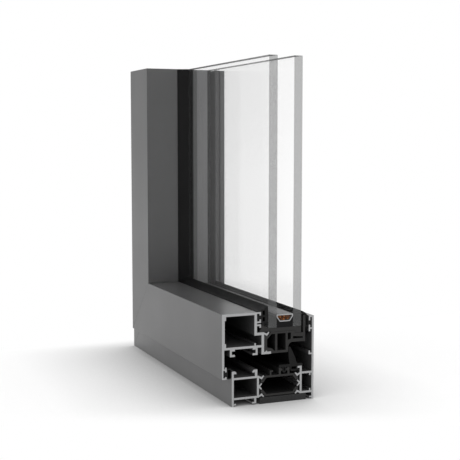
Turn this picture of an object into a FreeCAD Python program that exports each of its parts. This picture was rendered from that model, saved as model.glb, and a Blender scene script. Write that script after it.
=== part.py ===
"""Corner sample of a thermally broken aluminium door: frame, sash and double glazing, sawn at both ends.

Frame of the model, in millimetres:
  X runs along the bottom rail, from the outer edge of the jamb to the sawn end of the rail.
  Y runs through the depth of the door, from the inner face of the door frame (0) to its outer face.
  Z runs up, from the underside of the bottom rail.

Every long piece has one section, drawn once. A point of a section is (depth, rise): depth is Y, and rise
is the distance from the outer edge of the door frame, towards the glass. In the bottom rail rise is Z, and
in the upright stile it is X, so the same section serves both, and the two meet in a mitre on the plane X = Z.
"""
import FreeCAD, Part

import math
import os

import Sketcher

SIZES = {
    # lengths of the two legs of the sample, from the outer corner to the sawn ends
    "rail_length": 234.0,
    "stile_height": 249.0,
    "mitre_gap": 0.2,
    "mitre_reach": 90.0,
    # fits between pieces that are pushed or rolled together
    "fit": 0.15,
    # walls of the aluminium sections
    "shell_wall": 1.6,
    "web_wall": 1.5,
    # how far a rib, hook or claw reaches into the wall that carries it
    "root": 0.6,
    # radius of the outer edges that a hand can touch
    "edge_radius": 0.4,
    # door frame, inner and outer aluminium shells
    "frame_depth": 65.0,
    "inner_shell_depth": 21.2,
    "outer_shell_depth": 11.2,
    "base_height": 4.9,
    "chamber_height": 16.0,
    "inner_leg_height": 25.7,
    "foot_height": 1.0,
    "foot_reach": 1.7,
    "foot_wall": 1.2,
    "inner_foot_setback": 2.1,
    # hardware groove between two lipped arms
    "groove_setback": 1.3,
    "arm_wall": 1.9,
    "lip_reach": 2.0,
    "lip_wall": 2.1,
    "lip_slope": 1.1,
    # ribs inside the outer shell that centre the corner cleat
    "cleat_rib_wall": 1.1,
    "cleat_rib_height": 1.7,
    "cleat_rib_setback": 0.8,
    # claws that are rolled onto the insulating bars
    "claw_reach": 4.1,
    "claw_tip": 0.6,
    "claw_dip_place": 1.9,
    "claw_dip": 1.1,
    "claw_keel_place": 2.2,
    "claw_keel": 3.0,
    "claw_root": 1.2,
    "fork_root": 0.4,
    "fork_crotch": 0.9,
    "fork_reach": 2.4,
    "fork_rise": 2.5,
    "fork_tip": 0.6,
    # insulating bars of the door frame
    "bar_wall": 1.5,
    "bar_setback": 1.4,
    "bar_gap": 0.2,
    "bar_drop": 0.5,
    "bar_shoulder": 5.1,
    "bar_elbow": 3.3,
    "bar_knee": 5.8,
    "bar_toe": 0.3,
    "bar_hook_share": 0.325,
    "bar_hook_wall": 1.2,
    "bar_hook_height": 3.5,
    "bar_hook_reach": 1.2,
    "seal_stem_setback": 8.35,
    "seal_stem_wall": 1.6,
    "seal_stem_span": 8.5,
    "seal_stem_height": 4.8,
    "seal_stem_lip": 1.1,
    # strip of rigid foam under the insulating bars
    "strip_setback": 0.8,
    "strip_overlap": 4.9,
    # sash shell
    "sash_proud": 7.5,
    "sash_low": 20.3,
    "sash_height": 46.8,
    "sash_depth": 32.65,
    "sash_wall": 1.75,
    "sash_web_wall": 1.7,
    "sash_top_wall": 1.9,
    "sash_chamber_step": 0.4,
    "sash_floor_rib": 1.7,
    "sash_web_rise": 21.1,
    "sash_arm_drop": 5.2,
    "sash_arm_wall": 1.5,
    "sash_arm_place": 4.3,
    "sash_arm_setback": 5.1,
    "sash_lip_reach": 2.4,
    "sash_lip_root": 1.2,
    "sash_shelf_rise": 32.0,
    "sash_shelf_wall": 2.0,
    "sash_post_wall": 2.05,
    "sash_post_setback": 5.6,
    "sash_heel": 5.5,
    "sash_corner": 1.0,
    "sash_corner_height": 2.8,
    "nub_height": 1.2,
    "nub_half": 0.7,
    "nub_place": 1.8,
    # rolled-in gasket grooves
    "hook_wall": 1.2,
    "hook_reach": 3.1,
    "hook_turn": 1.3,
    "flange_hook_reach": 2.5,
    "upstand_lip": 1.8,
    "glazing_hook_rise": 38.9,
    "heel_hook_rise": 37.9,
    # rebate gasket groove on the sash flange
    "rebate_groove_floor": 1.1,
    "rebate_groove_width": 5.3,
    "rebate_rib_wall": 1.0,
    "rebate_head_setback": 0.6,
    "rebate_hook_turn": 0.8,
    # exterior flange details
    "flange_cover": 6.9,
    "drip_rise": 33.2,
    "drip_head": 2.8,
    "cap_rib_drop": 10.0,
    "cap_head_low": 1.6,
    "cap_head_high": 2.0,
    "cap_hook_drop": 3.6,
    # glass unit
    "glass_seat": 2.7,
    "glass_inner_face": 28.4,
    "pane_thickness": 6.6,
    "weather_gap": 8.8,
    "spacer_height": 5.3,
    "spacer_wall": 0.7,
    "spacer_chamfer": 2.5,
    "spacer_setback": 4.0,
    # insulating core of the sash
    "core_wall": 1.7,
    "core_side_wall": 2.2,
    "core_top_rise": 31.6,
    "core_top_wall": 1.4,
    "core_splay": 2.8,
    "core_bend": 3.2,
    "core_drip": 0.7,
    "core_first_chamber": 6.4,
    "core_corner_setback": 9.7,
    "core_third_chamber": 2.5,
    "core_bottom_drop": 5.0,
    "core_arm_rise": 23.2,
    "core_arm_wall": 2.4,
    "core_leg_setback": 5.45,
    "core_leg_lip": 3.4,
    "core_step": 6.6,
    "core_shelf_rise": 29.7,
    "core_shelf_wall": 2.3,
    # rigid block under the glass
    "support_nose": 3.0,
    "support_heel": 1.0,
    # gaskets
    "gasket_wall": 1.2,
    "inner_gasket_drop": 8.2,
    "inner_gasket_lip": 3.9,
    "outer_gasket_drop": 1.0,
    "outer_gasket_lip": 4.1,
    "cap_shoulder": 2.6,
    "gasket_edge": 0.5,
    "gasket_barb": 0.8,
    "gasket_crown": 1.4,
    "gasket_hollow": 1.7,
    "gasket_hollow_foot": 2.6,
    "gasket_cell": 3.2,
    "gasket_overlap": 0.7,
    "central_gasket_skin": 2.0,
    "seal_bulb_drop": 2.6,
    "seal_slot_half": 0.45,
    "seal_box_drop": 3.3,
    "seal_box_wall": 1.15,
    "seal_box_floor": 1.4,
    "fin_setback": 2.4,
    "fin_root": 5.8,
    "fin_lean": 1.0,
    "fin_tip_rise": 40.0,
    "rebate_lip": 0.6,
    "rebate_barb": 0.4,
    "bulb_height": 7.8,
    "bulb_wall": 0.7,
    "bulb_crown": 2.5,
    "bulb_heel": 1.7,
}

DOC = FreeCAD.newDocument("door_corner_sample")
SHEET = DOC.addObject("Spreadsheet::Sheet", "Sizes")


class Formula:
    """A number together with the spreadsheet expression that gives it."""

    def __init__(self, value, text=None):
        self.value = float(value)
        self.text = text if text is not None else "%.6g" % value

    def join(self, other, sign, value):
        return Formula(value, "(%s %s %s)" % (self.text, sign, other.text))

    def __add__(self, other):
        other = formula(other)
        return self.join(other, "+", self.value + other.value)

    def __sub__(self, other):
        other = formula(other)
        return self.join(other, "-", self.value - other.value)

    def __mul__(self, other):
        other = formula(other)
        return self.join(other, "*", self.value * other.value)

    def __truediv__(self, other):
        other = formula(other)
        return self.join(other, "/", self.value / other.value)

    def __radd__(self, other):
        return formula(other) + self

    def __rsub__(self, other):
        return formula(other) - self

    def __rmul__(self, other):
        return formula(other) * self

    def __neg__(self):
        return formula(0) - self


def formula(value):
    return value if isinstance(value, Formula) else Formula(value)


class Sizes:
    """The driving dimensions: each one is a cell with an alias, and an attribute here."""

    def __init__(self):
        for row, (name, value) in enumerate(SIZES.items(), 1):
            SHEET.set("A%d" % row, name)
            SHEET.set("B%d" % row, "%g" % value)
            SHEET.setAlias("B%d" % row, name)
            setattr(self, name, Formula(value, "Sizes.%s" % name))


s = Sizes()
DOC.recompute()


class Arc:
    """A round stretch of an outline: it passes through one point and ends at another."""

    def __init__(self, through, end):
        self.through = through
        self.end = end


def end_of(item):
    return item.end if isinstance(item, Arc) else item


def mirrored(points, axis):
    """The same straight outline on the other side of a line of constant depth, in the reverse order."""
    return [(2 * axis - depth, rise) for depth, rise in reversed(points)]


def flipped(points, axis):
    """The same straight outline on the other side of a line of constant rise, in the reverse order."""
    return [(depth, 2 * axis - rise) for depth, rise in reversed(points)]


def origin_plane(body, role):
    return [item for item in body.Origin.OriginFeatures if item.Role == role][0]


def vector(point):
    return FreeCAD.Vector(formula(point[0]).value, formula(point[1]).value, 0)


def draw_loop(sketch, outline):
    """Draws a closed outline of lines and arcs, and returns each edge with its start and outline item."""
    edges = []
    start = end_of(outline[-1])
    for item in outline:
        end = end_of(item)
        if isinstance(item, Arc):
            curve = Part.Arc(vector(start), vector(item.through), vector(end))
        else:
            curve = Part.LineSegment(vector(start), vector(end))
        edges.append((sketch.addGeometry(curve, False), start, item))
        start = end
    return edges


def corner_of(sketch, geometry, point):
    """Says which end of a sketch edge, 1 or 2, lies at a point."""
    return min((1, 2), key=lambda end: sketch.getPoint(geometry, end).distanceToPoint(vector(point)))


def add_sketch(body, role, loops, name):
    sketch = body.newObject("Sketcher::SketchObject", name)
    sketch.AttachmentSupport = [(origin_plane(body, role), "")]
    sketch.MapMode = "FlatFace"
    constraints = []
    formulas = []

    def bind(kind, geometry, position, size):
        """Drives one coordinate of a sketch point from the sheet."""
        size = formula(size)
        formulas.append((len(constraints), size.text))
        constraints.append(Sketcher.Constraint(kind, -1, 1, geometry, position, size.value))

    def level(size, other):
        return formula(size).text == formula(other).text

    for outline in loops:
        edges = draw_loop(sketch, outline)
        for place, (geometry, start, item) in enumerate(edges):
            following = edges[(place + 1) % len(edges)][0]
            end = end_of(item)
            here = corner_of(sketch, geometry, end)
            there = corner_of(sketch, following, end)
            constraints.append(Sketcher.Constraint("Coincident", geometry, here, following, there))
            if isinstance(item, Arc):
                middle = sketch.addGeometry(Part.Point(vector(item.through)), True)
                constraints.append(Sketcher.Constraint("PointOnObject", middle, 1, geometry))
                bind("DistanceX", middle, 1, item.through[0])
                bind("DistanceY", middle, 1, item.through[1])
            if not isinstance(item, Arc) and level(start[0], end[0]):
                constraints.append(Sketcher.Constraint("Vertical", geometry))
            else:
                bind("DistanceX", geometry, here, end[0])
            if not isinstance(item, Arc) and level(start[1], end[1]):
                constraints.append(Sketcher.Constraint("Horizontal", geometry))
            else:
                bind("DistanceY", geometry, here, end[1])
    sketch.addConstraint(constraints)
    for number, text in formulas:
        sketch.setExpression("Constraints[%d]" % number, text)
    return sketch


def swapped(outline):
    """The same outline with depth and rise exchanged, for a sketch on the plane of the stile's section."""
    turned = []
    for item in outline:
        if isinstance(item, Arc):
            turned.append(Arc(item.through[::-1], item.end[::-1]))
        else:
            turned.append(item[::-1])
    return turned


def mitred_leg(label, features, upright, gap):
    """One straight leg: each feature of its section is padded along the leg, then the corner is mitred."""
    body = DOC.addObject("PartDesign::Body", label)
    body.Label = label
    for feature, loops in features.items():
        pad = body.newObject("PartDesign::Pad", "%s_%s" % (label, feature))
        name = "%s_%s_sketch" % (label, feature)
        if upright:
            pad.Profile = add_sketch(body, "XY_Plane", [swapped(outline) for outline in loops], name)
            pad.setExpression("Length", "Sizes.stile_height")
        else:
            pad.Profile = add_sketch(body, "YZ_Plane", loops, name)
            pad.setExpression("Length", "Sizes.rail_length")
    reach = s.mitre_reach
    step = gap * math.sqrt(0.5)
    margin = 1.0
    below = [(-margin, -margin + step), (reach, reach + step), (reach, -margin + step)]
    above = [(-margin, -margin - step), (reach, reach - step), (-margin, reach - step)]
    mitre = body.newObject("PartDesign::Pocket", label + "_mitre")
    mitre.Profile = add_sketch(body, "XZ_Plane", [below if upright else above], label + "_mitre_sketch")
    mitre.Type = "ThroughAll"
    mitre.Midplane = True
    return body


PIECES = []


def mitred_pair(name, features):
    """The rail and the stile of one section, as two pieces that meet at the mitre."""
    for place, upright in (("rail", False), ("stile", True)):
        PIECES.append(mitred_leg("%s_%s" % (name, place), features, upright, s.mitre_gap / 2))


def bent_piece(name, features):
    """A section that runs round the corner in one piece."""
    legs = [mitred_leg("%s_%s" % (name, place), features, upright, formula(0))
            for place, upright in (("rail_leg", False), ("stile_leg", True))]
    whole = DOC.addObject("Part::Fuse", name)
    whole.Label = name
    whole.Base = legs[0]
    whole.Tool = legs[1]
    whole.Refine = True
    PIECES.append(whole)


# levels that several pieces share
mid_rise = s.base_height + s.chamber_height / 2
chamber_top = s.base_height + s.chamber_height
outer_wall_face = s.frame_depth - s.outer_shell_depth
bar_middle = (s.inner_shell_depth + outer_wall_face) / 2
flange_inner = s.frame_depth - s.shell_wall
sash_face = -s.sash_proud
sash_top = s.sash_low + s.sash_height
sash_wall_face = sash_face + s.sash_depth
sash_web = s.sash_low + s.sash_web_rise
arm_foot = sash_web - s.sash_arm_drop
post_right = sash_wall_face - s.sash_post_setback
groove_low = s.sash_low + s.hook_wall
groove_high = groove_low + s.rebate_groove_width
groove_top = groove_high + s.rebate_rib_wall
seal_right = outer_wall_face - s.seal_stem_setback
seal_left = seal_right - s.seal_stem_span
bar_top = chamber_top - s.bar_drop
sash_shelf = s.sash_low + s.sash_shelf_rise
glass_edge = sash_shelf + s.glass_seat
flange_top = glass_edge + s.flange_cover
cap_rib = flange_top - s.cap_rib_drop
outer_gasket_top = flange_top + s.outer_gasket_lip
seal_seat = bar_top + s.seal_stem_height + s.fit


def block(low_depth, high_depth, low_rise, high_rise):
    return [
        (low_depth, low_rise),
        (low_depth, high_rise),
        (high_depth, high_rise),
        (high_depth, low_rise),
    ]


def hook(face, back, side, turn, reach, drop):
    """A gasket hook on a wall: its web leaves the face at the rise called back, and its end turns by drop.

    side says which way it points in depth, and turn which way its end turns in rise, each as 1 or -1.
    """
    web = back + turn * s.hook_wall
    tip = face + side * reach
    return [
        (face - side * s.root, back),
        (tip, back),
        (tip, web + turn * drop),
        (tip - side * s.hook_wall, web + turn * drop),
        (tip - side * s.hook_wall, web),
        (face - side * s.root, web),
    ]


def outer_claw(face, level, side, turn):
    """A dipped claw that is rolled onto an insulating bar; turn is 1 for the claw above the bar."""
    root = face - side * s.root
    return [
        (root, level),
        (face + side * s.claw_dip_place, level - turn * s.claw_dip),
        (face + side * (s.claw_reach - s.claw_tip), level),
        (face + side * s.claw_reach, level - turn * s.claw_tip),
        (face + side * s.claw_keel_place, level - turn * s.claw_keel),
        (root, level - turn * s.claw_root),
    ]


def fork(face, side):
    """Two thin arms that spread from the middle of the wall, each to the foot of an insulating bar."""
    root = face - side * s.root
    tip = face + side * s.fork_reach
    shoulder = face + side * (s.fork_reach - s.fork_tip)
    upper = [
        (root, mid_rise + s.fork_root),
        (shoulder, mid_rise + s.fork_rise),
        (tip, mid_rise + s.fork_rise - s.fork_tip),
    ]
    return upper + [(face + side * s.fork_crotch, mid_rise)] + flipped(upper, mid_rise)


def claws(face, side):
    """The two bar grooves of a frame shell: a dipped claw outside each bar, and a fork between the bars."""
    return [
        outer_claw(face, chamber_top, side, 1),
        fork(face, side),
        outer_claw(face, s.base_height, side, -1),
    ]


def rounded(corner, arrive, leave):
    """An outer corner with a small radius; arrive and leave are the directions of its two edges."""
    depth, rise = corner
    radius = s.edge_radius
    share = 1 - math.sqrt(0.5)
    start = (depth - arrive[0] * radius, rise - arrive[1] * radius)
    middle = (depth + (leave[0] - arrive[0]) * radius * share, rise + (leave[1] - arrive[1]) * radius * share)
    end = (depth + leave[0] * radius, rise + leave[1] * radius)
    return [start, Arc(middle, end)]


def sloped_lip(face, side, top):
    """The lip of the frame's hardware groove, with its upper corner cut away."""
    return [
        (face - side * s.root, top),
        (face + side * (s.lip_reach - s.lip_slope), top),
        (face + side * s.lip_reach, top - s.lip_slope),
        (face + side * s.lip_reach, top - s.lip_wall),
        (face - side * s.root, top - s.lip_wall),
    ]


def foot_lip(face, side):
    """A small lip at the foot of a leg, where a sill profile clips on."""
    tip = face + side * s.foot_reach
    return block(face - side * s.root, tip, s.foot_height, s.foot_height + s.foot_wall)


def inner_shell():
    """Room-side shell of the door frame: its leg, chamber, hardware groove and bar grooves."""
    wall = s.shell_wall
    face = s.inner_shell_depth
    arm_outer = face - s.groove_setback
    arm_inner = arm_outer - s.arm_wall
    leg_outer = face - s.inner_foot_setback
    leg_inner = leg_outer - wall
    top = s.inner_leg_height
    walls = [
        (0, 0),
        *rounded((0, top), (0, 1), (1, 0)),
        (wall, top),
        (wall, chamber_top),
        (arm_inner, chamber_top),
        (arm_inner, top),
        (arm_outer, top),
        (arm_outer, chamber_top),
        (face, chamber_top),
        (face, s.base_height),
        (leg_outer, s.base_height),
        (leg_outer, s.foot_height),
        (leg_inner, s.foot_height),
        (leg_inner, s.base_height),
        (wall, s.base_height),
        (wall, 0),
    ]
    chamber = block(wall, face - wall, s.base_height + s.web_wall, chamber_top - s.web_wall)
    return {
        "walls": [walls, chamber],
        "lips": [
            sloped_lip(wall, 1, top),
            sloped_lip(arm_inner, -1, top),
            foot_lip(wall, 1),
            foot_lip(leg_inner, -1),
        ],
        "claws": claws(face, 1),
    }


def outer_shell():
    """Weather-side shell of the door frame: bar grooves, chamber with cleat ribs, and the tall flange."""
    wall = s.shell_wall
    web = s.web_wall
    face = outer_wall_face
    upstand = seal_seat
    walls = [
        (flange_inner, 0),
        (flange_inner, s.base_height),
        (face, s.base_height),
        (face, upstand),
        (face + wall, upstand),
        (face + wall, chamber_top),
        (flange_inner, chamber_top),
        (flange_inner, flange_top),
        *rounded((s.frame_depth, flange_top), (1, 0), (0, -1)),
        (s.frame_depth, 0),
    ]
    low = s.base_height + web
    high = chamber_top - web
    chamber = block(face + wall, flange_inner, low, high)
    rib_outer = flange_inner - s.cleat_rib_setback
    rib_inner = rib_outer - s.cleat_rib_wall
    ribs = [
        block(rib_inner, rib_outer, high - s.cleat_rib_height, high + s.root),
        block(rib_inner, rib_outer, low - s.root, low + s.cleat_rib_height),
    ]
    reach = s.flange_hook_reach
    rib_tip = flange_inner - reach
    rib_foot = block(rib_tip, rib_tip + s.hook_wall, cap_rib - s.cap_head_low, cap_rib + s.root)
    return {
        "walls": [walls, chamber],
        "ribs": ribs,
        "hooks": [
            hook(flange_inner, flange_top, -1, -1, reach, s.cap_hook_drop - s.hook_wall),
            hook(flange_inner, cap_rib, -1, 1, reach, s.cap_head_high),
            hook(flange_inner, s.drip_rise, -1, 1, reach, s.drip_head - s.hook_wall),
            block(face - s.upstand_lip, face + s.root, upstand - web, upstand),
            foot_lip(flange_inner, -1),
        ],
        "cap_rib_foot": [rib_foot],
        "claws": claws(face, -1),
    }


def bar_half():
    """Half of an insulating bar, from its foot to its web: the upper edge, then the lower edge."""
    face = s.inner_shell_depth
    start = face + s.bar_setback
    keel = face + s.claw_keel_place + s.bar_gap
    under_claw = chamber_top - s.claw_keel - s.bar_gap
    over_fork = mid_rise + s.fork_rise + s.bar_gap
    upper = [
        (start, under_claw - s.bar_toe),
        (keel, under_claw),
        (face + s.bar_shoulder, bar_top),
    ]
    lower = [
        (start, over_fork),
        (face + s.bar_elbow, over_fork),
        (face + s.bar_knee, bar_top - s.bar_wall),
    ]
    return upper, lower


def bar_outline():
    upper, lower = bar_half()
    return upper + mirrored(upper, bar_middle) + mirrored(lower[::-1], bar_middle) + lower[::-1]


def upper_bar():
    """Upper insulating bar: feet, necks and web, a small hook and the two stems of the central gasket."""
    base = bar_top - s.root
    wall = s.bar_hook_wall
    shoulder = s.inner_shell_depth + s.bar_shoulder
    hook_left = shoulder + (seal_left - shoulder) * s.bar_hook_share
    hook_top = bar_top + s.bar_hook_height
    small_hook = [
        (hook_left, base),
        (hook_left, hook_top),
        (hook_left + wall + s.bar_hook_reach, hook_top),
        (hook_left + wall + s.bar_hook_reach, hook_top - wall),
        (hook_left + wall, hook_top - wall),
        (hook_left + wall, base),
    ]
    stem = s.seal_stem_wall
    tooth = s.seal_stem_lip
    top = bar_top + s.seal_stem_height
    left_stem = [
        (seal_left, base),
        (seal_left, top),
        (seal_left + stem, top),
        (seal_left + stem + tooth, top - tooth),
        (seal_left + stem + tooth, top - 2 * tooth),
        (seal_left + stem, top - 2 * tooth),
        (seal_left + stem, base),
    ]
    return {
        "web": [bar_outline()],
        "stems": [small_hook, left_stem, mirrored(left_stem, (seal_left + seal_right) / 2)],
    }


def lower_bar():
    """Lower insulating bar: the same feet and necks with a plain web."""
    return {"web": [flipped(bar_outline(), mid_rise)]}


def foam_strip():
    """Foam strip that fills the pocket under the insulating bars."""
    return {"strip": [block(s.inner_shell_depth + s.strip_setback, outer_wall_face + s.strip_overlap,
                            0, s.base_height - s.fit)]}


def groove_arm(back, side):
    """An arm of the sash's hardware groove: a thick root, the arm and the lip at its foot."""
    inside = back + side * s.sash_arm_wall
    tip = inside + side * s.sash_lip_reach
    return [
        (back, sash_web + s.root),
        (back, arm_foot),
        (tip, arm_foot),
        (tip, arm_foot + s.sash_arm_wall),
        (inside, arm_foot + s.sash_arm_wall),
        (inside, sash_web - s.sash_lip_root),
        (tip, sash_web - s.sash_lip_root),
        (tip, sash_web + s.root),
    ]


def sash_shell():
    """Sash: room-side face and flange, large chamber, post beside the glass, and every groove on them."""
    face = sash_face
    flange = face + s.sash_wall
    low = s.sash_low
    top = sash_top
    shelf = sash_shelf
    right = sash_wall_face
    right_inner = right - s.sash_post_wall
    post_left = post_right - s.sash_post_wall
    heel_top = arm_foot + s.sash_wall
    walls = [
        *rounded((face, low), (-1, 0), (0, 1)),
        *rounded((face, top), (0, 1), (1, 0)),
        (post_right, top),
        (post_right, shelf),
        (right, shelf),
        (right, heel_top),
        (right + s.sash_heel, heel_top),
        (right + s.sash_heel, arm_foot),
        (right_inner, arm_foot),
        (right_inner, sash_web),
        (flange, sash_web),
        (flange, groove_top),
        (face + s.rebate_groove_floor, groove_top),
        (face + s.rebate_groove_floor, low),
    ]
    thin = flange + s.sash_chamber_step
    thick = thin + s.sash_corner
    floor = sash_web + s.sash_web_wall
    ceiling = top - s.sash_top_wall
    chamber = [
        (thick, floor),
        (thick, floor + s.sash_corner_height),
        (thin, floor + s.sash_corner_height),
        (thin, ceiling - s.sash_corner_height),
        (thick, ceiling - s.sash_corner_height),
        (thick, ceiling),
        (post_left, ceiling),
        (post_left, shelf - s.sash_shelf_wall),
        (right_inner, shelf - s.sash_shelf_wall),
        (right_inner, floor),
    ]
    groove_floor = face + s.rebate_groove_floor
    head = flange + s.rebate_head_setback
    flange_foot = [
        (groove_floor - s.root, low),
        (head + s.hook_wall, low),
        (head + s.hook_wall, groove_low + s.rebate_hook_turn),
        (head, groove_low + s.rebate_hook_turn),
        (head, groove_low),
        (groove_floor - s.root, groove_low),
    ]
    flange_rib = [
        (groove_floor - s.root, groove_high),
        (head, groove_high),
        (head, groove_high - s.hook_wall),
        (head + s.hook_wall, groove_high - s.hook_wall),
        (head + s.hook_wall, groove_top + s.hook_wall),
        (head, groove_top + s.hook_wall),
        (head, groove_top),
        (groove_floor - s.root, groove_top),
    ]
    nub = right + s.nub_place
    reach = s.hook_reach
    return {
        "walls": [walls, chamber],
        "hooks": [
            hook(post_right, top, 1, -1, reach, s.hook_turn),
            hook(post_right, low + s.glazing_hook_rise, 1, 1, reach, s.hook_turn),
            hook(post_right, low + s.heel_hook_rise, 1, -1, reach, s.hook_turn),
        ],
        "flange_groove": [flange_foot, flange_rib],
        "hardware_groove": [
            groove_arm(flange + s.sash_arm_place, 1),
            groove_arm(right - s.sash_arm_setback, -1),
        ],
        "small_ribs": [
            block(post_left, post_left + s.hook_wall, floor - s.root, floor + s.sash_floor_rib),
            [
                (nub - s.nub_half, heel_top - s.root),
                (nub - s.nub_half, heel_top),
                (nub, heel_top + s.nub_height),
                (nub + s.nub_half, heel_top),
                (nub + s.nub_half, heel_top - s.root),
            ],
        ],
        "claw": [outer_claw(right, shelf, 1, 1)],
    }


glass_outer_face = flange_inner - s.weather_gap
cavity_start = s.glass_inner_face + s.pane_thickness
cavity_end = glass_outer_face - s.pane_thickness
core_leg_right = flange_inner - s.core_leg_setback
core_leg_left = core_leg_right - s.core_wall
core_leg_top = outer_gasket_top - s.core_leg_lip
core_heel = sash_wall_face + s.sash_heel + s.fit * 2
core_top = s.sash_low + s.core_top_rise
core_shelf = s.sash_low + s.core_shelf_rise


def sash_core():
    """Insulating core of the sash: three chambers, the arm over the rebate and the leg beside the glass."""
    left = sash_wall_face + s.fit
    low = sash_web - s.core_bottom_drop
    foot_top = arm_foot + s.sash_wall + s.fit
    nub = sash_wall_face + s.nub_place
    nub_half = s.nub_half + s.fit
    corner = outer_wall_face - s.core_corner_setback
    keel = sash_wall_face + s.claw_keel_place
    under_claw = sash_shelf - s.claw_keel - s.fit * 2
    arm_low = s.sash_low + s.core_arm_rise
    bend = s.core_bend
    drip = s.core_drip
    outer = [
        (left, foot_top),
        (left, under_claw + s.fit * 6),
        (keel, under_claw),
        (keel + s.claw_tip, under_claw),
        (core_heel - s.claw_tip, core_top),
        (core_leg_left - s.core_step, core_top),
        (core_leg_left - s.core_step, core_shelf),
        (core_leg_left, core_shelf),
        (core_leg_left, core_leg_top),
        (core_leg_right, core_leg_top),
        (core_leg_right, arm_low - drip),
        (core_leg_right - drip, arm_low),
        (corner + bend, arm_low),
        Arc((corner + bend * 0.4, arm_low - bend * 0.3), (corner + bend * 0.1, arm_low - bend)),
        (corner, low),
        (core_heel, low),
        (core_heel, foot_top),
        (nub + nub_half, foot_top),
        (nub, foot_top + s.nub_height),
        (nub - nub_half, foot_top),
    ]
    wall = s.core_wall
    ceiling = core_top - s.core_top_wall
    floor = low + wall
    side = left + s.core_side_wall
    splay = s.core_splay
    first_right = side + s.core_first_chamber
    first = [
        (side, floor + splay),
        (side, ceiling - splay * 1.3),
        (core_heel, ceiling),
        (first_right, ceiling),
        (first_right, floor),
        (first_right - splay * 0.3, floor),
        (first_right - splay * 0.8, floor + splay * 0.6),
    ]
    third_left = corner - s.fit
    third_right = third_left + s.core_third_chamber
    second = block(first_right + wall, third_left - wall, floor, ceiling)
    third = [
        (third_left, arm_low + s.core_arm_wall - s.core_drip),
        (third_left, ceiling),
        (third_right, ceiling),
        (third_right, arm_low + s.core_arm_wall),
    ]
    slit_top = core_shelf - s.core_shelf_wall
    slit = [
        (third_right + wall, slit_top),
        (core_leg_left - s.fit, slit_top - s.core_drip),
        (core_leg_left - s.fit, arm_low + s.core_arm_wall),
        (third_right + wall, arm_low + s.core_arm_wall),
    ]
    return {"section": [outer, first, second, third, slit]}


def glazing_support():
    """Rigid block that carries the edge of the glass unit on the shelf of the sash."""
    left = post_right + s.hook_reach - s.support_heel
    top = glass_edge - s.fit
    shelf = sash_shelf + s.fit
    nose_left = post_right + s.hook_reach + s.fit * 2
    nose = s.glass_inner_face - s.fit
    step = core_leg_left - s.core_step + s.fit
    claw_end = core_heel - s.claw_tip * 2
    outline = [
        (left, shelf),
        (left, top - s.support_heel),
        (nose_left, top),
        (nose_left, top + s.support_nose),
        (nose, top + s.fit),
        (nose, top),
        (glass_outer_face, top),
        (glass_outer_face, core_shelf + s.fit),
        (step, core_shelf + s.fit),
        (step, core_top + s.fit),
        (core_heel - s.claw_tip, core_top + s.fit),
        (claw_end, shelf),
    ]
    return {"section": [outline]}


def spacer_outline(inset):
    """Trapezoid of the spacer between the panes, drawn inwards from its outside by a wall."""
    low = glass_edge + s.spacer_setback + inset
    high = glass_edge + s.spacer_setback + s.spacer_height - inset
    left = cavity_start + inset
    right = cavity_end - inset
    slope = s.spacer_chamfer - inset * 0.6
    return [
        (left + slope, low),
        (left, low + slope * 1.4),
        (left, high),
        (right, high),
        (right, low + slope * 1.4),
        (right - slope, low),
    ]


def edge_seal():
    """Rubbery seal poured round the outside of the spacer, flush with the edges of the panes."""
    low = glass_edge
    spacer_low = glass_edge + s.spacer_setback
    slope = s.spacer_chamfer
    outline = [
        (cavity_start, low),
        (cavity_start, spacer_low + slope * 1.4),
        (cavity_start + slope, spacer_low),
        (cavity_end - slope, spacer_low),
        (cavity_end, spacer_low + slope * 1.4),
        (cavity_end, low),
    ]
    return {"section": [outline]}


def inner_gasket():
    """Glazing gasket on the room side: a foot in the groove, a hollow body and a lip on the glass."""
    post = sash_wall_face - s.sash_post_setback
    tip = post + s.hook_reach
    low = sash_top - s.inner_gasket_drop
    top = sash_top + s.inner_gasket_lip
    glass = s.glass_inner_face - s.fit
    stem_low = s.sash_low + s.glazing_hook_rise + s.hook_wall + s.hook_turn + s.fit
    stem_high = sash_top - s.hook_wall - s.hook_turn - s.fit
    body = tip + s.fit
    outer = [
        (body, low),
        (body, stem_low),
        (tip - s.hook_wall - s.fit, stem_low),
        (tip - s.hook_wall - s.fit, stem_low - s.gasket_barb),
        (post + s.fit * 2, stem_low),
        (post + s.fit * 2, stem_high),
        (tip - s.hook_wall - s.fit, stem_high + s.gasket_barb),
        (tip - s.hook_wall - s.fit, stem_high),
        (body, stem_high),
        (body, sash_top + s.fit),
        (post, sash_top + s.fit),
        (post, sash_top + s.gasket_edge),
        Arc((tip + s.gasket_edge, sash_top + s.gasket_crown), (glass, top)),
        (glass, low + s.gasket_edge),
        (glass - s.gasket_edge, low),
    ]
    wall = s.gasket_wall
    hollow_left = body + wall
    hollow_right = hollow_left + s.gasket_hollow
    hollow_foot = sash_top - s.gasket_hollow_foot
    hollow_head = sash_top + s.gasket_barb
    cell_top = low + wall + s.gasket_cell
    upper = [
        (hollow_left, hollow_foot),
        (hollow_left, hollow_head),
        (hollow_right, hollow_head),
        (hollow_right, hollow_foot),
    ]
    lower = [
        (hollow_left, low + wall),
        (hollow_left, cell_top),
        (hollow_right, cell_top),
        (hollow_right, low + wall),
    ]
    return {"section": [outer, upper, lower]}


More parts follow.
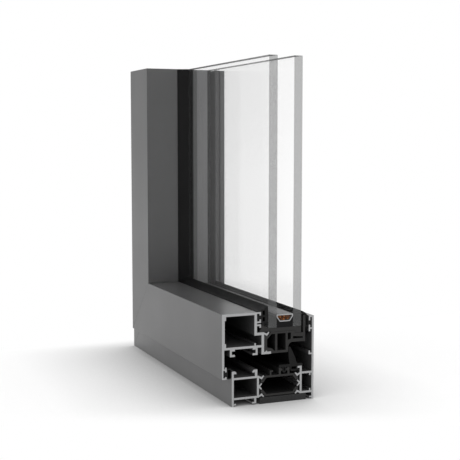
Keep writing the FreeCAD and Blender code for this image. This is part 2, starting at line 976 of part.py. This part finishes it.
def outer_gasket():
    """Glazing gasket on the weather side: a round cap over the core's leg, with a foot in the flange."""
    glass = glass_outer_face + s.fit
    head = flange_inner - s.flange_hook_reach
    head_end = head + s.hook_wall + s.fit
    foot_low = cap_rib + s.hook_wall + s.cap_head_high + s.fit
    foot_high = flange_top - s.cap_hook_drop - s.fit
    side = core_leg_right + s.fit
    edge = head - s.fit
    low = glass_edge - s.outer_gasket_drop
    high = outer_gasket_top
    under = core_leg_top + s.fit
    shoulder = foot_high + s.cap_shoulder
    wall = s.bulb_wall
    outer = [
        (side, low),
        (side, under),
        (glass, under + wall),
        (glass, high),
        Arc((glass * 0.4 + edge * 0.6, high * 0.6 + shoulder * 0.4), (edge, shoulder)),
        (edge, foot_high),
        (head_end, foot_high),
        (head_end, foot_high + wall),
        (flange_inner - s.fit, foot_high),
        (flange_inner - s.fit, foot_low),
        (head_end, foot_low - wall),
        (head_end, foot_low),
        (edge, foot_low),
        (edge, low + wall),
        (edge - wall, low),
    ]
    hollow = [
        (side + wall, low + wall),
        (side + wall, under - wall),
        Arc((edge - wall * 1.5, shoulder - wall), (edge - wall, foot_high - wall)),
        (edge - wall, foot_low),
        (edge - wall * 2, low + wall),
    ]
    return {"section": [outer, hollow]}


def central_gasket():
    """Central gasket: a foot between the stems of the bar, a hook on the outer shell, and the fin."""
    low = seal_seat
    top = low + s.central_gasket_skin
    edge = s.gasket_edge
    lip = outer_wall_face - s.upstand_lip
    under_lip = low - s.web_wall - s.fit
    right = outer_wall_face + s.shell_wall + s.gasket_overlap
    bulb = (seal_left + seal_right) / 2
    bulb_half = s.seal_stem_span / 2 - s.seal_stem_wall - s.seal_stem_lip - s.fit
    bulb_rise = low - s.seal_bulb_drop
    fin_right = outer_wall_face - s.fin_setback
    fin_left = fin_right - s.fin_root
    tip = s.fin_tip_rise
    lean = s.fin_lean
    box_left = seal_right + s.fit * 3
    box_low = low - s.seal_box_drop
    box_wall = s.seal_box_wall
    cell_low = box_low + s.seal_box_floor
    outer = [
        (seal_left, low),
        (seal_left, top - edge),
        (seal_left + edge, top),
        (fin_left, top),
        Arc((fin_left - lean * 0.7, (top * 2 + tip) / 3), (fin_left - lean, tip - lean)),
        Arc((fin_left - lean * 0.8, tip - lean * 0.2), (fin_left + lean * 0.3, tip)),
        Arc((fin_left + s.fin_root * 0.63, (top + tip) / 2), (fin_right, top)),
        (right - edge * 2, top),
        Arc((right - edge * 0.6, top - edge * 0.6), (right, top - edge * 2)),
        (right, low + s.fit),
        (lip - s.fit, low + s.fit),
        (lip - s.fit, under_lip),
        (lip + edge, under_lip),
        (lip - edge, box_low),
        (box_left + box_wall, box_low),
        (box_left, cell_low),
        (box_left, low),
        (bulb + bulb_half, low),
        (bulb + bulb_half, bulb_rise),
        Arc((bulb, bulb_rise - bulb_half), (bulb - bulb_half, bulb_rise)),
        (bulb - bulb_half, low),
    ]
    slot = block(bulb - s.seal_slot_half, bulb + s.seal_slot_half, bulb_rise, low)
    hollow = block(box_left + box_wall, lip - box_wall, cell_low, low)
    return {"section": [outer, slot, hollow]}


def rebate_gasket():
    """Stop gasket of the sash flange: a foot in the flange groove and a soft bulb that meets the frame."""
    low = s.sash_low
    head = sash_face + s.sash_wall + s.rebate_lip + s.hook_wall
    neck = head - s.hook_wall - s.fit
    groove = sash_face + s.rebate_groove_floor + s.fit
    left = head + s.fit
    right = -s.fit
    barb = s.rebate_barb
    slot_low = low + s.hook_wall * 2
    slot_high = low + s.rebate_groove_width - barb
    wall = s.bulb_wall
    top = low + s.bulb_height
    shoulder = top - s.bulb_crown
    heel = low + s.bulb_heel
    middle = (left + right) / 2
    outer = [
        (left, slot_low),
        (neck, slot_low),
        (neck, slot_low - barb),
        (groove, slot_low),
        (groove, slot_high),
        (neck, slot_high + barb),
        (neck, slot_high),
        (left, slot_high),
        (left, shoulder),
        Arc((middle, top), (right, shoulder)),
        (right, heel),
        Arc((middle, low), (left, heel - wall)),
    ]
    inner = [
        (left + wall, shoulder),
        Arc((middle, top - wall), (right - wall, shoulder)),
        (right - wall, heel),
        Arc((middle, low + wall), (left + wall, heel)),
    ]
    return {"section": [outer, inner]}


def pane(name, inner_face):
    """One sheet of glass, upright in the plane of the door, from its edges to the sawn ends."""
    body = DOC.addObject("PartDesign::Body", name)
    body.Label = name
    outline = [
        (glass_edge, glass_edge),
        (s.rail_length, glass_edge),
        (s.rail_length, s.stile_height),
        (glass_edge, s.stile_height),
    ]
    sheet = add_sketch(body, "XZ_Plane", [outline], name + "_outline")
    sheet.setExpression("AttachmentOffset.Base.z", "-1 mm * " + inner_face.text)
    pad = body.newObject("PartDesign::Pad", name + "_thickness")
    pad.Profile = sheet
    pad.Reversed = True
    pad.setExpression("Length", "Sizes.pane_thickness")
    PIECES.append(body)


mitred_pair("frame_inner_shell", inner_shell())
mitred_pair("frame_outer_shell", outer_shell())
mitred_pair("frame_upper_bar", upper_bar())
mitred_pair("frame_lower_bar", lower_bar())
mitred_pair("base_strip", foam_strip())
mitred_pair("sash_shell", sash_shell())
mitred_pair("sash_core", sash_core())
mitred_pair("glazing_support", glazing_support())
mitred_pair("inner_glazing_gasket", inner_gasket())
mitred_pair("outer_glazing_gasket", outer_gasket())
mitred_pair("central_gasket", central_gasket())
mitred_pair("rebate_gasket", rebate_gasket())
pane("inner_pane", s.glass_inner_face)
pane("outer_pane", cavity_end)
bent_piece("glass_spacer", {"section": [spacer_outline(0), spacer_outline(s.spacer_wall)]})
bent_piece("desiccant", {"section": [spacer_outline(s.spacer_wall)]})
bent_piece("edge_seal", edge_seal())

DOC.recompute()

for item in DOC.Objects:
    if "Invalid" in item.State or "Error" in item.State:
        raise RuntimeError("%s did not build: %s" % (item.Label, item.State))
for piece in PIECES:
    if piece.Shape.isNull() or not piece.Shape.isValid():
        raise RuntimeError("%s has no valid shape" % piece.Label)

os.makedirs("parts", exist_ok=True)
for piece in PIECES:
    piece.Shape.exportStep("parts/%s.step" % piece.Label)
    print("%-28s %10.1f mm3, %d solid" % (piece.Label, piece.Shape.Volume, len(piece.Shape.Solids)))
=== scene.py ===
"""Looks of the door corner sample: finishes, desiccant beads, studio floor, light and camera."""

import math
import random

import bmesh
import bpy
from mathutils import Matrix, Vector


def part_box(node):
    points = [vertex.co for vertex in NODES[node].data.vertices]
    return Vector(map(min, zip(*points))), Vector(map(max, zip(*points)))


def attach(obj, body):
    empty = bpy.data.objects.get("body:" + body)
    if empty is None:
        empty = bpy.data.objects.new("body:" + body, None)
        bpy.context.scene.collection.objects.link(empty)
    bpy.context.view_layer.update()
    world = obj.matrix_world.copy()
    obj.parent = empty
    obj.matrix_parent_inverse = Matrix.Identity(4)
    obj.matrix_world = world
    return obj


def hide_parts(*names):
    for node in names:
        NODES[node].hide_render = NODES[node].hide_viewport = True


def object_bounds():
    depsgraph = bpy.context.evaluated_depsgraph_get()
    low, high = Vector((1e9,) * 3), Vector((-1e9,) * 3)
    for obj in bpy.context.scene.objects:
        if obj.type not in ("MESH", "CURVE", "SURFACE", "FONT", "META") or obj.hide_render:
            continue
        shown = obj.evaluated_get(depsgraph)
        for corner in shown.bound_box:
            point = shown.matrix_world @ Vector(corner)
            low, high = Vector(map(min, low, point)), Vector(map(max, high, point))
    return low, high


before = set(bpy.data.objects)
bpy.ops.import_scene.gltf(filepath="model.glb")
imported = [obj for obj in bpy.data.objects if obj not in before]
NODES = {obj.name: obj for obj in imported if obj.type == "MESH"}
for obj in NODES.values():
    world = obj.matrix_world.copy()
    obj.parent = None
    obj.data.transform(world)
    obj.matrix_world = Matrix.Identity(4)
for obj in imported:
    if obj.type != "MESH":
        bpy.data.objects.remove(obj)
packed_low, packed_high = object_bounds()

MM = 0.001
LEGS = ("rail", "stile")
SAWN_X = packed_high[0]
SAWN_Z = packed_high[2]
CUT_DEPTH = 0.05 * MM
CUT_FACING = 0.9
SIDE_FACING = 0.7


class Shader:
    """A node tree written as nested calls, which hand output sockets on to each other."""

    def __init__(self, name, tree=None):
        if tree is None:
            self.material = bpy.data.materials.new(name)
            self.material.use_nodes = True
            tree = self.material.node_tree
            tree.nodes.clear()
        self.tree = tree

    def node(self, kind, values=None, output=0, **settings):
        made = self.tree.nodes.new(kind)
        for key, value in settings.items():
            setattr(made, key, value)
        for key, value in (values or {}).items():
            self.feed(made.inputs[key], value)
        return made.outputs[output]

    def feed(self, socket, value):
        if isinstance(value, bpy.types.NodeSocket):
            self.tree.links.new(value, socket)
        elif socket.type == "RGBA" and len(value) == 3:
            socket.default_value = (*value, 1.0)
        else:
            socket.default_value = value

    def math(self, operation, first, second=0.0, third=0.0):
        return self.node("ShaderNodeMath", {0: first, 1: second, 2: third}, operation=operation)

    def mix(self, share, low, high):
        """A colour between two colours."""
        made = self.tree.nodes.new("ShaderNodeMix")
        made.data_type = "RGBA"
        self.feed(made.inputs["Factor"], share)
        self.feed(made.inputs["A"], low)
        self.feed(made.inputs["B"], high)
        return made.outputs["Result"]

    def blend(self, share, first, second):
        """A surface between two surfaces."""
        return self.node("ShaderNodeMixShader", {0: share, 1: first, 2: second})

    def ramp(self, value, start, end, low=0.0, high=1.0):
        values = {"Value": value, "From Min": start, "From Max": end, "To Min": low, "To Max": high}
        return self.node("ShaderNodeMapRange", values, interpolation_type="SMOOTHSTEP")

    def place(self, stretch=(1.0, 1.0, 1.0)):
        point = self.node("ShaderNodeTexCoord", output=3)
        return self.node("ShaderNodeMapping", {"Vector": point, "Scale": stretch})

    def noise(self, scale, detail, stretch=(1.0, 1.0, 1.0)):
        values = {"Vector": self.place(stretch), "Scale": scale, "Detail": detail, "Roughness": 0.55}
        return self.node("ShaderNodeTexNoise", values)

    def cells(self, scale):
        return self.node("ShaderNodeTexVoronoi", {"Vector": self.place(), "Scale": scale})

    def bump(self, height, distance, strength, normal=None):
        values = {"Height": height, "Distance": distance, "Strength": strength}
        if normal is not None:
            values["Normal"] = normal
        return self.node("ShaderNodeBump", values)

    def rounded(self, radius):
        return self.node("ShaderNodeBevel", {"Radius": radius}, samples=4)

    def axis(self, which, source):
        """One axis of the surface's normal or position."""
        vector = self.node("ShaderNodeNewGeometry", output={"Position": 0, "Normal": 1}[source])
        return self.node("ShaderNodeSeparateXYZ", {"Vector": vector}, output="XYZ".index(which))

    def faces(self, which, least):
        """1 where the normal leans towards the far end of an axis by more than the least, and 0 elsewhere."""
        return self.math("GREATER_THAN", self.axis(which, "Normal"), least)

    def sawn(self, leg):
        """1 on the faces where the saw went through a rail or a stile, and 0 elsewhere."""
        which, level = {"rail": ("X", SAWN_X), "stile": ("Z", SAWN_Z)}[leg]
        beyond = self.math("GREATER_THAN", self.axis(which, "Position"), level - CUT_DEPTH)
        return self.math("MULTIPLY", beyond, self.faces(which, CUT_FACING))

    def mitre(self, core, fade):
        """1 on the plane where rail and stile are joined, which is X = Z, and 0 beside it."""
        aside = self.math("SUBTRACT", self.axis("X", "Position"), self.axis("Z", "Position"))
        return self.ramp(self.math("ABSOLUTE", aside), core, fade, 1.0, 0.0)

    def principled(self, **values):
        names = {key.replace("_", " ").title(): value for key, value in values.items()}
        if "Specular Ior Level" in names:
            names["Specular IOR Level"] = names.pop("Specular Ior Level")
        return self.node("ShaderNodeBsdfPrincipled", names)

    def surface(self, shader):
        output = self.tree.nodes.new("ShaderNodeOutputMaterial")
        self.feed(output.inputs["Surface"], shader)
        return self.material


def along(leg, fast, slow):
    """A texture's stretch for lines that run along a rail or a stile."""
    return (slow, fast, fast) if leg == "rail" else (fast, fast, slow)


def across_cut(leg, fast, slow):
    """A texture's stretch for the marks that a saw leaves on the cut of a rail or a stile."""
    return (fast, slow, fast * 0.6) if leg == "rail" else (fast, slow, fast)


def painted_aluminium(leg):
    """Grey satin powder coat with its fine orange peel, a mitre line, and bright sawn metal at the cut."""
    s = Shader("powder_coat_" + leg)
    cut = s.sawn(leg)
    orange_peel = s.noise(1500.0, 2.0)
    cloud = s.noise(14.0, 3.0)
    saw_lines = s.noise(420.0, 3.0, across_cut(leg, 0.12, 3.0))
    coat = s.mix(s.math("MULTIPLY", cloud, 0.5), (0.064, 0.064, 0.065), (0.074, 0.074, 0.075))
    coat = s.mix(s.mitre(0.10 * MM, 0.30 * MM), coat, (0.042, 0.042, 0.043))
    metal = s.mix(saw_lines, (0.305, 0.307, 0.310), (0.390, 0.393, 0.397))
    roughness = s.ramp(cloud, 0.3, 0.7, 0.30, 0.36)
    coat_bump = s.bump(orange_peel, 0.02 * MM, 0.18, s.rounded(0.35 * MM))
    return s.surface(s.principled(
        base_color=s.mix(cut, coat, metal),
        roughness=s.math("MULTIPLY_ADD", cut, 0.06, roughness),
        metallic=s.math("MULTIPLY", cut, 0.3),
        normal=s.bump(s.math("MULTIPLY", saw_lines, cut), 0.04 * MM, 0.5, coat_bump),
    ))


def polyamide(leg):
    """Black glass-filled polyamide: faint lines from the die, pale fibre ends in the cut."""
    s = Shader("polyamide_" + leg)
    cut = s.sawn(leg)
    die_lines = s.noise(900.0, 2.0, along(leg, 1.0, 0.02))
    fibre_end = s.math("LESS_THAN", s.cells(2600.0), 0.16)
    body = s.mix(die_lines, (0.013, 0.013, 0.013), (0.019, 0.019, 0.019))
    sawn = s.mix(fibre_end, (0.019, 0.0185, 0.018), (0.044, 0.042, 0.040))
    return s.surface(s.principled(
        base_color=s.mix(cut, body, sawn),
        roughness=s.math("MULTIPLY_ADD", cut, 0.2, 0.5),
        specular_ior_level=0.3,
        normal=s.bump(die_lines, 0.03 * MM, 0.3, s.rounded(0.15 * MM)),
    ))


def foam(leg):
    """Closed-cell foam of the base strip."""
    s = Shader("foam_" + leg)
    cells = s.cells(1100.0)
    patch = s.noise(60.0, 3.0)
    body = s.mix(s.math("MULTIPLY", cells, 1.4), (0.006, 0.006, 0.006), (0.020, 0.020, 0.020))
    return s.surface(s.principled(
        base_color=s.mix(s.math("MULTIPLY", patch, 0.5), body, (0.012, 0.012, 0.012)),
        roughness=s.ramp(patch, 0.3, 0.7, 0.78, 0.9),
        normal=s.bump(cells, 0.25 * MM, 0.6),
    ))


def rubber(leg, name="rubber_", low=0.003, high=0.006):
    """Extruded EPDM: black, satin, with fine lines along its length."""
    s = Shader(name + leg)
    cut = s.sawn(leg)
    die_lines = s.noise(1300.0, 2.0, along(leg, 1.0, 0.015))
    bloom = s.noise(45.0, 4.0)
    body = s.mix(bloom, (low, low, low * 1.03), (high, high, high * 1.03))
    return s.surface(s.principled(
        base_color=s.mix(cut, body, (0.011, 0.011, 0.011)),
        roughness=s.math("MULTIPLY_ADD", cut, 0.25, s.ramp(bloom, 0.3, 0.7, 0.52, 0.62)),
        specular_ior_level=0.15,
        normal=s.bump(die_lines, 0.03 * MM, 0.35, s.rounded(0.2 * MM)),
    ))


def outer_rubber_painted_sheen(leg):
    """The outer glazing gasket with painted sheen: lighter than the other rubber, a little on the rail and
    more on the stile, for the sheen and light that it gets from the weather side.
    """
    # Painted sheen: these tones are lighter than the other rubber's, most of all on the stile.
    low, high = {"rail": (0.013, 0.020), "stile": (0.050, 0.068)}[leg]
    return rubber(leg, "outer_rubber_painted_sheen_", low, high)


def pane_glass(name, mirroring, film):
    """A clear pane that mirrors more at a flat angle, with a film of dust and ground grey edges.

    Where a face is met from within the glass, its normal is turned round. That marks the top edge seen so,
    which gets a painted darker tone for the dark surroundings that it mirrors from inside, and shows more of
    its ground face.
    """
    s = Shader(name)
    flatness = s.node("ShaderNodeLayerWeight", {"Blend": 0.5}, output=1)
    mirror = s.math("MULTIPLY_ADD", s.math("POWER", flatness, 5.0), mirroring, 0.04)
    smudge = s.noise(9.0, 3.0)
    haze = s.ramp(smudge, 0.3, 0.7, 0.08, 0.12)
    clear = s.node("ShaderNodeBsdfTransparent", {"Color": (0.990, 0.990, 0.990)})
    gloss = s.node("ShaderNodeBsdfGlossy", {"Color": (0.93, 0.93, 0.93), "Roughness": haze})
    dust = s.node("ShaderNodeBsdfDiffuse", {"Color": (0.9, 0.9, 0.9)})
    dust_share = s.ramp(smudge, 0.2, 0.8, 0.9 * film, 1.1 * film)
    sheet = s.blend(dust_share, s.blend(mirror, clear, gloss), dust)

    grinding = s.noise(1600.0, 2.0, (1.0, 1.0, 0.15))
    top_from_within = s.math("LESS_THAN", s.axis("Z", "Normal"), -SIDE_FACING)
    tone = s.mix(grinding, (0.105, 0.107, 0.107), (0.120, 0.122, 0.122))
    # Painted reflection: the top edge seen from within the glass takes a darker tone.
    tone = s.mix(top_from_within, tone, (0.030, 0.031, 0.031))
    ground = s.principled(
        base_color=tone,
        roughness=0.55,
        specular_ior_level=0.3,
        normal=s.bump(grinding, 0.02 * MM, 0.06),
    )
    through = s.node("ShaderNodeBsdfTransparent", {"Color": (0.98, 0.982, 0.982)})
    edge_share = 0.57
    more_at_top = 0.38
    ground_share = s.math("MULTIPLY_ADD", top_from_within, more_at_top, edge_share)
    edge = s.blend(ground_share, through, ground)

    on_sheet = s.math("GREATER_THAN", s.math("ABSOLUTE", s.axis("Y", "Normal")), SIDE_FACING)
    return s.surface(s.blend(on_sheet, edge, sheet))


def spacer_metal():
    """Satin rolled metal with a bright sawn rim, a painted shadow strip by the inner pane, and painted shade
    on the top of the rail's spacer away from the sawn end.
    """
    s = Shader("spacer_metal")
    room_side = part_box("glass_spacer")[0][1]
    cut = s.math("MAXIMUM", s.sawn("rail"), s.sawn("stile"))
    rolling = s.noise(1100.0, 2.0, (0.05, 1.0, 0.05))
    tone = s.mix(rolling, (0.163, 0.164, 0.166), (0.213, 0.214, 0.216))
    # Painted shadow: a darker strip along the face next to the inner pane, where the inner gasket shades it.
    shadow_strip_end = room_side + 3.2 * MM
    shadow_strip_gone = room_side + 3.6 * MM
    past_shadow_strip = s.ramp(s.axis("Y", "Position"), shadow_strip_end, shadow_strip_gone)
    tone = s.mix(past_shadow_strip, (0.120, 0.121, 0.122), tone)
    # Painted shade: the top of the rail's spacer turns darker away from the sawn end.
    painted_shade_full = SAWN_X - 50.0 * MM
    painted_shade_gone = SAWN_X - 12.0 * MM
    inward = s.ramp(s.axis("X", "Position"), painted_shade_full, painted_shade_gone, 1.0, 0.0)
    painted_shade_top = s.math("MULTIPLY", s.faces("Z", SIDE_FACING), inward)
    tone = s.mix(painted_shade_top, tone, (0.050, 0.050, 0.051))
    return s.surface(s.principled(
        base_color=s.mix(cut, tone, (0.40, 0.402, 0.405)),
        metallic=s.math("MULTIPLY", cut, 0.3),
        roughness=s.ramp(rolling, 0.3, 0.7, 0.5, 0.6),
        specular_ior_level=0.06,
        normal=s.bump(rolling, 0.02 * MM, 0.3, s.rounded(0.2 * MM)),
    ))


def desiccant_beads():
    """Orange-brown porous beads, each with a tone of its own, most of them dark."""
    s = Shader("desiccant_beads")
    bead = s.node("ShaderNodeNewGeometry", output=8)
    pores = s.noise(4200.0, 3.0)
    tone = s.mix(s.math("POWER", bead, 1.6), (0.050, 0.014, 0.004), (0.56, 0.20, 0.045))
    return s.surface(s.principled(
        base_color=s.mix(s.math("MULTIPLY", pores, 0.3), tone, (0.12, 0.036, 0.010)),
        roughness=s.ramp(pores, 0.3, 0.7, 0.6, 0.85),
        normal=s.bump(pores, 0.05 * MM, 0.4),
    ))


def edge_sealant():
    """Poured black seal: smooth skin, slightly wavy."""
    s = Shader("edge_sealant")
    wave = s.noise(260.0, 2.0)
    return s.surface(s.principled(
        base_color=s.mix(wave, (0.004, 0.004, 0.0041), (0.007, 0.007, 0.0072)),
        roughness=s.ramp(wave, 0.3, 0.7, 0.42, 0.6),
        specular_ior_level=0.1,
        normal=s.bump(wave, 0.12 * MM, 0.4),
    ))


def finish(node, material):
    """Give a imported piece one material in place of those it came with."""
    slots = NODES[node].data.materials
    slots.clear()
    slots.append(material)


def finish_packed_parts():
    """One material for each pair of legs, and one for each single piece."""
    paired = {
        painted_aluminium: ("frame_inner_shell", "frame_outer_shell", "sash_shell"),
        polyamide: ("frame_upper_bar", "frame_lower_bar", "sash_core", "glazing_support"),
        foam: ("base_strip",),
        rubber: ("inner_glazing_gasket", "central_gasket", "rebate_gasket"),
        outer_rubber_painted_sheen: ("outer_glazing_gasket",),
    }
    for make, names in paired.items():
        for leg in LEGS:
            material = make(leg)
            for name in names:
                finish("%s_%s" % (name, leg), material)
    finish("inner_pane", pane_glass("inner_pane_glass", 0.60, 0.024))
    finish("outer_pane", pane_glass("outer_pane_glass", 0.45, 0.0))
    finish("glass_spacer", spacer_metal())
    finish("edge_seal", edge_sealant())


def middle_of(points):
    """The mean of some points, given as depth and rise."""
    return Vector((sum(p[0] for p in points), sum(p[1] for p in points))) / len(points)


def channel_section():
    """The corners, as depth and rise, of the desiccant's section at the sawn end of the rail, in order."""
    rim = {
        (round(v.co.y, 6), round(v.co.z, 6))
        for v in NODES["desiccant"].data.vertices
        if v.co.x > SAWN_X - CUT_DEPTH
    }
    centre = middle_of(rim)
    return sorted(rim, key=lambda p: math.atan2(p[1] - centre.y, p[0] - centre.x))


def inside(section, point, margin):
    """True if a point keeps the margin from every side of a convex section whose corners run leftwards."""
    for start, end in zip(section, section[1:] + section[:1]):
        side = Vector(end) - Vector(start)
        gap = side.x * (point[1] - start[1]) - side.y * (point[0] - start[0])
        if gap / side.length < margin:
            return False
    return True


def bead_spots(section, radius, length, source):
    """Places for loose beads in a channel, as depth, rise and distance from its sawn end.

    Each pass has its nearest and furthest distance from that end, in bead radii, and its number of tries.
    The front ones come first, so that they pack closest where they are seen.
    """
    low_y, high_y = min(p[0] for p in section), max(p[0] for p in section)
    low_z, high_z = min(p[1] for p in section), max(p[1] for p in section)
    closest = 1.98 * radius
    passes = ((1.0, 1.5, 1500), (1.0, 4.0, 4000), (1.0, length / radius, 9000))
    spots = []
    for front, back, tries in passes:
        for _ in range(tries):
            spot = Vector((
                source.uniform(low_y, high_y),
                source.uniform(low_z, high_z),
                source.uniform(front, back) * radius,
            ))
            if not inside(section, spot, radius):
                continue
            if all((spot - other).length > closest for other in spots):
                spots.append(spot)
    return spots


def add_beads(build, section, radius, length):
    """Loose round beads at the sawn ends of the rail and the stile."""
    source = random.Random(7)
    for leg in LEGS:
        for depth, rise, back in bead_spots(section, radius, length, source):
            size = radius * source.uniform(0.9, 1.0)
            place = (SAWN_X - back, depth, rise) if leg == "rail" else (rise, depth, SAWN_Z - back)
            made = bmesh.ops.create_icosphere(build, subdivisions=3, radius=size)
            bmesh.ops.translate(build, verts=made["verts"], vec=place)


def add_core(build, section, length):
    """A closed bar, bent at the mitre, that fills most of the channel between the beads."""
    middle = middle_of(section)
    share_of_channel = 0.9
    core = [middle + (Vector(p) - middle) * share_of_channel for p in section]
    stations = [
        [(SAWN_X - length, p.x, p.y) for p in core],
        [(p.y, p.x, p.y) for p in core],
        [(p.y, p.x, SAWN_Z - length) for p in core],
    ]
    rings = [[build.verts.new(point) for point in station] for station in stations]
    count = len(core)
    for first, second in zip(rings, rings[1:]):
        for i in range(count):
            build.faces.new((first[i], first[(i + 1) % count], second[(i + 1) % count], second[i]))
    build.faces.new(rings[0][::-1])
    build.faces.new(rings[-1])


def fill_channel():
    """Beads at both sawn ends of the spacer, and a plain core along the unseen rest of its channel."""
    section = channel_section()
    bead_radius = 0.8 * MM
    bead_length = 9.0 * MM
    build = bmesh.new()
    add_beads(build, section, bead_radius, bead_length)
    add_core(build, section, bead_length)
    for face in build.faces:
        face.smooth = len(face.verts) == 3
    bmesh.ops.recalc_face_normals(build, faces=build.faces)
    mesh = bpy.data.meshes.new("desiccant_bead_fill")
    build.to_mesh(mesh)
    build.free()
    beads = bpy.data.objects.new("desiccant_bead_fill", mesh)
    bpy.context.scene.collection.objects.link(beads)
    material = desiccant_beads()
    mesh.materials.append(material)
    finish("desiccant", material)
    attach(beads, "root")
    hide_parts("desiccant")


def floor_material():
    """Pale paper that carries the part's soft shade, and plain white away from it.

    The shade lies under and beside the part. It fades out in front of the sawn corner and outside the jamb,
    and light that bounces off the floor loses less by it than the view of the floor does.
    """
    s = Shader("studio_floor")
    x = s.axis("X", "Position")
    y = s.axis("Y", "Position")
    back_x, back_y = -0.923, 0.384
    white_corner, shaded_corner = -45.0 * MM, -8.0 * MM
    white_jamb, shaded_jamb = -30.0 * MM, 5.0 * MM
    from_corner = s.math("MULTIPLY", s.math("SUBTRACT", x, SAWN_X), back_x)
    behind_corner = s.math("MULTIPLY_ADD", y, back_y, from_corner)
    shaded = s.math(
        "MULTIPLY",
        s.ramp(behind_corner, white_corner, shaded_corner),
        s.ramp(x, white_jamb, shaded_jamb),
    )
    reach = 110.0 * MM
    depth = 0.95
    bounced_share = 0.4
    seen = s.node("ShaderNodeLightPath", output=0)
    open_sky = s.node("ShaderNodeAmbientOcclusion", {"Distance": reach}, output=1, samples=16)
    lost = s.math("SUBTRACT", 1.0, s.math("POWER", open_sky, depth))
    lost = s.math("MULTIPLY", lost, s.math("MULTIPLY_ADD", seen, 1.0 - bounced_share, bounced_share))
    shade = s.math("SUBTRACT", 1.0, s.math("MULTIPLY", lost, shaded))
    sheet = s.mix(s.noise(3.0, 2.0), (0.95, 0.95, 0.95), (0.96, 0.96, 0.96))
    paper = s.principled(base_color=s.mix(shade, (0.0, 0.0, 0.0), sheet), roughness=0.9)
    white = s.node("ShaderNodeEmission", {"Color": (1.0, 1.0, 1.0), "Strength": shade})
    point = s.node("ShaderNodeTexCoord", output=3)
    away = s.node("ShaderNodeVectorMath", {0: point}, output=1, operation="LENGTH")
    paper_end, paper_gone = 0.35, 1.1
    paper_share = s.math("MULTIPLY", shaded, s.ramp(away, paper_end, paper_gone, 0.5, 0.0))
    return s.surface(s.blend(s.math("SUBTRACT", 1.0, paper_share), paper, white))


def studio_floor():
    """A floor far larger than the part, which stands on it at Z = 0."""
    half = 5.0
    mesh = bpy.data.meshes.new("studio_floor")
    corners = [(-half, -half, 0.0), (half, -half, 0.0), (half, half, 0.0), (-half, half, 0.0)]
    mesh.from_pydata(corners, [], [(0, 1, 2, 3)])
    mesh.materials.append(floor_material())
    floor = bpy.data.objects.new("studio_floor", mesh)
    bpy.context.scene.collection.objects.link(floor)


def world_light():
    """White behind the part for the camera, and a room for everything that the part mirrors.

    Near the horizon that room is darker on the room side and brighter on the weather side.
    """
    world = bpy.data.worlds.new("studio")
    world.use_nodes = True
    bpy.context.scene.world = world
    world.node_tree.nodes.clear()
    s = Shader("studio", world.node_tree)
    seen = s.node("ShaderNodeLightPath", output=0)
    direction = s.node("ShaderNodeTexCoord", output=0)
    y = s.node("ShaderNodeSeparateXYZ", {"Vector": direction}, output=1)
    z = s.node("ShaderNodeSeparateXYZ", {"Vector": direction}, output=2)
    horizon = s.math("MULTIPLY", s.ramp(z, -0.05, 0.05), s.ramp(z, 0.3, 0.5, 1.0, 0.0))
    room_side = s.math("MULTIPLY", horizon, s.ramp(y, -0.45, -0.05, 1.0, 0.0))
    weather_side = s.math("MULTIPLY", horizon, s.ramp(y, 0.05, 0.45))
    room = s.mix(room_side, (0.96, 0.96, 0.96), (0.60, 0.60, 0.60))
    room = s.mix(weather_side, room, (1.30, 1.30, 1.30))
    tone = s.mix(seen, room, (1.0, 1.0, 1.0))
    shader = s.node("ShaderNodeBackground", {"Color": tone, "Strength": 1.0})
    output = world.node_tree.nodes.new("ShaderNodeOutputWorld")
    s.feed(output.inputs["Surface"], shader)


def softbox(name, place, target, width, height, power):
    """A rectangular lamp turned to its target, with its power in watts."""
    light = bpy.data.lights.new(name, "AREA")
    light.shape = "RECTANGLE"
    light.size = width
    light.size_y = height
    light.energy = power
    lamp = bpy.data.objects.new(name, light)
    lamp.location = place
    direction = Vector(target) - Vector(place)
    lamp.rotation_euler = direction.to_track_quat("-Z", "Y").to_euler()
    bpy.context.scene.collection.objects.link(lamp)


def camera():
    """The photograph's view, solved from the part's edges."""
    focal_px = 1011.0
    image_px = 460.0
    turn = math.radians(22.565)
    dip = math.radians(5.182)
    data = bpy.data.cameras.new("camera")
    data.sensor_width = 36.0
    data.lens = focal_px / image_px * data.sensor_width
    eye = bpy.data.objects.new("camera", data)
    eye.location = (0.884454, -0.271645, 0.190572)
    level = math.cos(dip)
    forward = Vector((-math.cos(turn) * level, math.sin(turn) * level, -math.sin(dip)))
    eye.rotation_euler = forward.to_track_quat("-Z", "Y").to_euler()
    bpy.context.scene.collection.objects.link(eye)
    bpy.context.scene.camera = eye


finish_packed_parts()
fill_channel()
studio_floor()
world_light()
part_middle = (Vector(packed_low) + Vector(packed_high)) / 2
softbox("key", (-0.3, -1.7, 1.25), part_middle, width=1.8, height=1.4, power=6.0)
softbox("top", (0.2, 0.5, 2.0), part_middle, width=1.6, height=1.6, power=4.5)
camera()
bpy.context.scene.view_settings.view_transform = "Standard"
